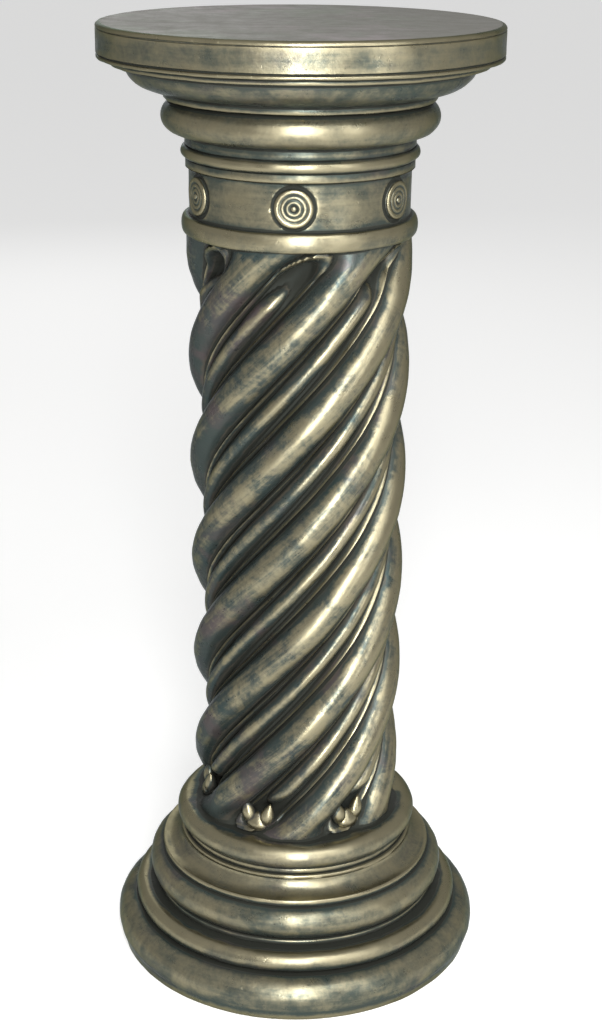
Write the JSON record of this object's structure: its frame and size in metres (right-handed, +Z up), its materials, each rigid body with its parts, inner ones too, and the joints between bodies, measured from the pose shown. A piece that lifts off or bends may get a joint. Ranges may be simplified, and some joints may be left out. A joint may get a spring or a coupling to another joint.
{
  "type": "twisted pedestal column",
  "caption": "Round pedestal column with a stepped moulded base, a right-handed twisted shaft, a neck with round bosses and a flat round top, in an antique bronze finish.",
  "frame": {"origin": "centre of the round underside, on the surface that the column stands on", "axes": "+Z up along the column's axis, +X to the right and -Y towards the viewer in the front view"},
  "size_m": [0.305, 0.305, 0.762],
  "materials": {
    "antique_bronze": "satin"
  },
  "bodies": {
    "root": {"base": "antique_bronze", "shaft": "antique_bronze", "capital": "antique_bronze"}
  },
  "joints": []
}
